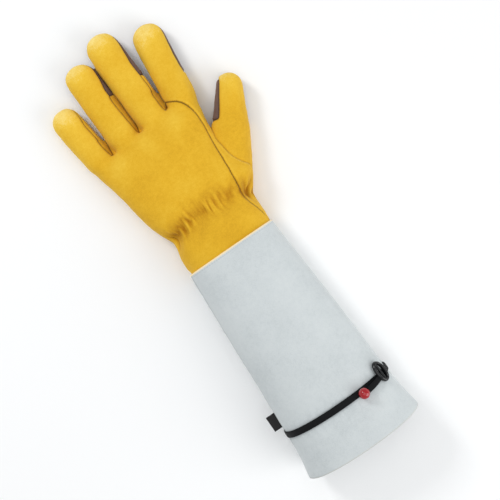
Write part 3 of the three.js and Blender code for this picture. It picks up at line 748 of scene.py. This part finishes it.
def elastic_material(name, length):
    """Black braid: round ribs along the strap, crossed by short slanting threads."""
    material, tree, shader = new_material(name)
    uv = add_node(tree, "ShaderNodeUVMap", uv_map="braid")
    parts = add_node(tree, "ShaderNodeSeparateXYZ", {0: uv.outputs[0]})
    run, side = parts.outputs[0], parts.outputs[1]
    along = add_node(tree, "ShaderNodeMath", {0: run, 1: length / BRAID_STEP}, operation="MULTIPLY")
    across = add_node(tree, "ShaderNodeMath", {0: side, 1: BRAID_RIBS}, operation="MULTIPLY")
    ribs = add_node(tree, "ShaderNodeMath", {0: across.outputs[0], 1: 0.5}, operation="PINGPONG")
    slant = add_node(tree, "ShaderNodeMath", {0: ribs.outputs[0], 1: 1.2, 2: along.outputs[0]},
                     operation="MULTIPLY_ADD")
    threads = add_node(tree, "ShaderNodeMath", {0: slant.outputs[0], 1: 0.5}, operation="PINGPONG")
    height = add_node(tree, "ShaderNodeMath", {0: threads.outputs[0], 1: 0.6, 2: ribs.outputs[0]},
                      operation="MULTIPLY_ADD")
    # painted shade in the braid's grooves and painted light on its raised ribs and threads
    tone = add_node(tree, "ShaderNodeMix", {0: height.outputs[0]}, data_type="RGBA")
    tone.inputs[6].default_value = linear("#050607")
    tone.inputs[7].default_value = linear("#141619")
    tree.links.new(tone.outputs[2], shader.inputs["Base Color"])
    relief = {"Height": height.outputs[0], "Strength": 0.8, "Distance": 0.3 * MM}
    bump = add_node(tree, "ShaderNodeBump", relief)
    tree.links.new(bump.outputs[0], shader.inputs["Normal"])
    shader.inputs["Roughness"].default_value = 0.62
    shader.inputs["Specular IOR Level"].default_value = 0.15
    return material


def strap_piece(name, bm, length, *nodes):
    bmesh.ops.recalc_face_normals(bm, faces=bm.faces)
    if next(iter(bm.faces)).normal.z < 0:
        bmesh.ops.reverse_faces(bm, faces=bm.faces)
    piece = finished(name, bm, elastic_material(name + "_braid", length), "black_elastic", *nodes)
    body = piece.modifiers.new("thickness", "SOLIDIFY")
    body.thickness = STRAP_THICKNESS
    body.offset = 1
    rounding = piece.modifiers.new("rounding", "BEVEL")
    rounding.width = 0.35 * MM
    rounding.segments = 3
    return piece


loop = flat_elastic(360, 6, loop_middle)
bmesh.ops.remove_doubles(loop, verts=loop.verts, dist=0.01 * MM)
loop_length = sum(
    (on_cuff(turns[i], STRAP_AT) - on_cuff(turns[i - 1], STRAP_AT)).length for i in range(CUFF_COLUMNS)
)
strap_piece("strap_loop", loop, loop_length, "strap")
strap_piece("strap_tail", flat_elastic(40, 6, tail_middle), TAIL_LENGTH)


# The slide.
# A glossy black plastic oval, moulded in one: a raised rim with a soft edge, two long slots, and a bar
# between them that the strap goes round.

SLIDE_LENGTH = 18.5 * MM
SLIDE_WIDTH = 12 * MM
SLIDE_OFF = STRAP_OFF + 1.4 * MM
SLIDE_AT = STRAP_AT - 2.2 * MM
SLIDE_PROFILE = [  # in from the outline, and up from the underside, in millimetres
    (0.5, 0),
    (0.1, 0.4),
    (0, 1.2),
    (0.1, 1.9),
    (0.45, 2.5),
    (0.9, 2.95),
    (1.4, 3.1),
    (1.85, 3),
    (2.2, 2.6),
    (2.45, 2),
    (2.6, 1.2),
    (2.6, 0.3),
    (2.4, 0),
]
BAR_WIDTH = 1.9 * MM
BAR_HEIGHT = 1.9 * MM


def cuff_place(turn, down, off):
    """The place of something on the cuff. Its x runs round the cuff, its y to the hand and its z out."""
    along = (on_cuff(turn, down - 6 * MM, off) - on_cuff(turn, down + 6 * MM, off)).normalized()
    around = (on_cuff(turn - 0.12, down, off) - on_cuff(turn + 0.12, down, off)).normalized()
    out = around.cross(along).normalized()
    matrix = Matrix((along.cross(out), along, out)).transposed().to_4x4()
    matrix.translation = on_cuff(turn, down, off)
    return matrix


def oval_ring(profile, half_width, half_length, segments):
    """A closed oval ring whose section is the profile, a list of steps in from the outline and up."""
    bm = bmesh.new()
    bmesh.ops.create_circle(bm, cap_ends=False, segments=segments, radius=1)
    ring = first_ring = bm.edges[:]
    wide, long = 1, 1
    for step, (inset, height) in enumerate(profile):
        if step:
            made = bmesh.ops.extrude_edge_only(bm, edges=ring)["geom"]
            old = set(ring)
            ring = [part for part in made if isinstance(part, bmesh.types.BMEdge) and part not in old]
            ring = [edge for edge in ring if len(edge.link_faces) == 1]
        for vert in {vert for edge in ring for vert in edge.verts}:
            angle = math.atan2(vert.co.y / long, vert.co.x / wide)
            x = math.cos(angle) * (half_width - inset * MM)
            vert.co = (x, math.sin(angle) * (half_length - inset * MM), height * MM)
        wide, long = half_width - inset * MM, half_length - inset * MM
    bmesh.ops.bridge_loops(bm, edges=first_ring + ring)
    bmesh.ops.recalc_face_normals(bm, faces=bm.faces)
    return bm


def glossy_plastic(name, colour, worn, roughness):
    """Moulded plastic: glossy, slightly wavy, with fine handling marks in the gloss."""
    material, tree, shader = new_material(name)
    place = add_node(tree, "ShaderNodeTexCoord").outputs["Object"]
    waves = add_node(tree, "ShaderNodeTexNoise", {"Vector": place, "Scale": 1 / (3 * MM), "Detail": 2})
    marks = add_node(tree, "ShaderNodeTexNoise", {"Vector": place, "Scale": 1 / (0.5 * MM), "Detail": 4})
    tone = add_node(tree, "ShaderNodeMix", {0: waves.outputs[0]}, data_type="RGBA")
    tone.inputs[6].default_value = linear(colour)
    tone.inputs[7].default_value = linear(worn)
    tree.links.new(tone.outputs[2], shader.inputs["Base Color"])
    handled = {"Value": marks.outputs[0], "From Min": 0.3, "From Max": 0.75}
    handled |= {"To Min": roughness, "To Max": roughness + 0.12}
    gloss = add_node(tree, "ShaderNodeMapRange", handled)
    tree.links.new(gloss.outputs[0], shader.inputs["Roughness"])
    relief = {"Height": waves.outputs[0], "Strength": 0.25, "Distance": 0.08 * MM}
    bump = add_node(tree, "ShaderNodeBump", relief)
    tree.links.new(bump.outputs[0], shader.inputs["Normal"])
    return material


def rounded_bar(width, length, height, rounding):
    """A bar along y that stands on its zero, with rounded edges."""
    bm = bmesh.new()
    bmesh.ops.create_cube(bm, size=1)
    bmesh.ops.scale(bm, vec=(width, length, height), verts=bm.verts)
    bmesh.ops.translate(bm, vec=(0, 0, height / 2), verts=bm.verts)
    bmesh.ops.bevel(
        bm, geom=bm.edges[:], offset=rounding, segments=4, affect="EDGES", profile=0.5, material=-1
    )
    return bm


def placed(bm, matrix):
    bmesh.ops.transform(bm, matrix=matrix, verts=bm.verts)
    return bm


slide_place = cuff_place(SLIDE_TURN, SLIDE_AT, SLIDE_OFF)
black_plastic = glossy_plastic("black_moulded_plastic", "#0A0B0C", "#17181A", 0.14)
slide_rim = placed(oval_ring(SLIDE_PROFILE, SLIDE_WIDTH / 2, SLIDE_LENGTH / 2, 96), slide_place)
finished("slide_rim", slide_rim, black_plastic, "black_plastic", "slide")
slide_bar = rounded_bar(BAR_WIDTH, SLIDE_LENGTH - 4 * MM, BAR_HEIGHT, 0.6 * MM)
finished("slide_bar", placed(slide_bar, slide_place), black_plastic, "black_plastic")


# The bead.
# A glossy red ball with a drilled hole at each end. The strap's tail goes into one of them.

BEAD_RADIUS = 4.5 * MM
BEAD_HOLE = 1.5 * MM  # its radius
BEAD_AT = STRAP_AT + 1.8 * MM
BEAD_OFF = 0.6 * MM + STRAP_OFF + STRAP_THICKNESS + BEAD_RADIUS

bead = bmesh.new()
bmesh.ops.create_uvsphere(bead, u_segments=48, v_segments=32, radius=BEAD_RADIUS)
pole_faces = [face for face in bead.faces if face.calc_center_median().xy.length < BEAD_HOLE]
bmesh.ops.delete(bead, geom=pole_faces, context="FACES")
for sign in (1, -1):
    rim = [edge for edge in bead.edges if edge.is_boundary and edge.verts[0].co.z * sign > 0]
    for depth, radius in ((0.25, 0.92), (0.7, 0.8), (2.6, 0.75)):
        made = bmesh.ops.extrude_edge_only(bead, edges=rim)["geom"]
        rim = [part for part in made if isinstance(part, bmesh.types.BMEdge) and part.is_boundary]
        for vert in {vert for edge in rim for vert in edge.verts}:
            vert.co.xy = vert.co.xy.normalized() * BEAD_HOLE * radius
            vert.co.z = sign * (BEAD_RADIUS - depth * MM)
    bmesh.ops.contextual_create(bead, geom=rim)
bmesh.ops.recalc_face_normals(bead, faces=bead.faces)
bead_place = cuff_place(BEAD_TURN, BEAD_AT, BEAD_OFF) @ Matrix.Rotation(math.pi / 2, 4, "Y")
red_gloss = glossy_plastic("glossy_red_bead", "#960A16", "#AC141F", 0.06)
red_shader = next(node for node in red_gloss.node_tree.nodes if node.type == "BSDF_PRINCIPLED")
red_shader.inputs["Coat Weight"].default_value = 0.3
red_shader.inputs["Coat Roughness"].default_value = 0.03
finished("bead_ball", placed(bead, bead_place), red_gloss, "red_bead", "bead")


# The label.
# A bare black woven tab, folded over and caught by its two ends in the cuff's side seam.

label_low, label_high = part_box("label")
LABEL_FOLD = 0.42 * MM  # half the thickness of the folded tab
LABEL_ROOT = 1.2 * MM  # how far it goes into the seam
LABEL_BEND = 1.2 * MM  # how far from its fold it is at its full thickness
TAPE = 0.3 * MM

label = bmesh.new()
bmesh.ops.create_grid(label, x_segments=48, y_segments=20, size=0.5)
label_uv = label.loops.layers.uv.new("weave")
for face in label.faces:
    for corner in face.loops:
        corner[label_uv].uv = (corner.vert.co.x + 0.5, corner.vert.co.y + 0.5)
label_reach = label_high.x - label_low.x + LABEL_ROOT
for vert in label.verts:
    run = abs(vert.co.x) * 2  # from 0 at the fold to 1 in the seam
    side = 1 if vert.co.x > 0 else -1
    width = vert.co.y * (label_high.y - label_low.y)
    fold = min(run * label_reach / LABEL_BEND, 1)
    height = side * LABEL_FOLD * math.sin(fold * math.pi / 2)
    lift = 0.35 * MM * math.sin(run * 2.5) * (0.5 + vert.co.y)
    middle = (label_low + label_high) / 2
    vert.co = Vector((label_low.x + TAPE + run * label_reach, middle.y + width, middle.z + height + lift))


def woven_tab(name):
    """A close black weave of crossing threads."""
    material, tree, shader = new_material(name)
    uv = add_node(tree, "ShaderNodeUVMap", uv_map="weave")
    parts = add_node(tree, "ShaderNodeSeparateXYZ", {0: uv.outputs[0]})
    warp = add_node(tree, "ShaderNodeMath", {0: parts.outputs[0], 1: 40}, operation="MULTIPLY")
    weft = add_node(tree, "ShaderNodeMath", {0: parts.outputs[1], 1: 34}, operation="MULTIPLY")
    over = add_node(tree, "ShaderNodeMath", {0: warp.outputs[0], 1: 0.5}, operation="PINGPONG")
    under = add_node(tree, "ShaderNodeMath", {0: weft.outputs[0], 1: 0.5}, operation="PINGPONG")
    threads = add_node(
        tree, "ShaderNodeMath", {0: over.outputs[0], 1: under.outputs[0]}, operation="MULTIPLY"
    )
    # painted shade between the threads and painted light where they rise
    tone = add_node(tree, "ShaderNodeMix", {0: threads.outputs[0]}, data_type="RGBA")
    tone.inputs[6].default_value = linear("#060405")
    tone.inputs[7].default_value = linear("#241A1A")
    tree.links.new(tone.outputs[2], shader.inputs["Base Color"])
    relief = {"Height": threads.outputs[0], "Strength": 0.7, "Distance": 0.2 * MM}
    bump = add_node(tree, "ShaderNodeBump", relief)
    tree.links.new(bump.outputs[0], shader.inputs["Normal"])
    shader.inputs["Roughness"].default_value = 0.7
    return material


label_piece = finished("label_tab", label, woven_tab("black_woven_tab"), "black_label", "label")
tape = label_piece.modifiers.new("tape", "SOLIDIFY")
tape.thickness = TAPE
tape.offset = 0
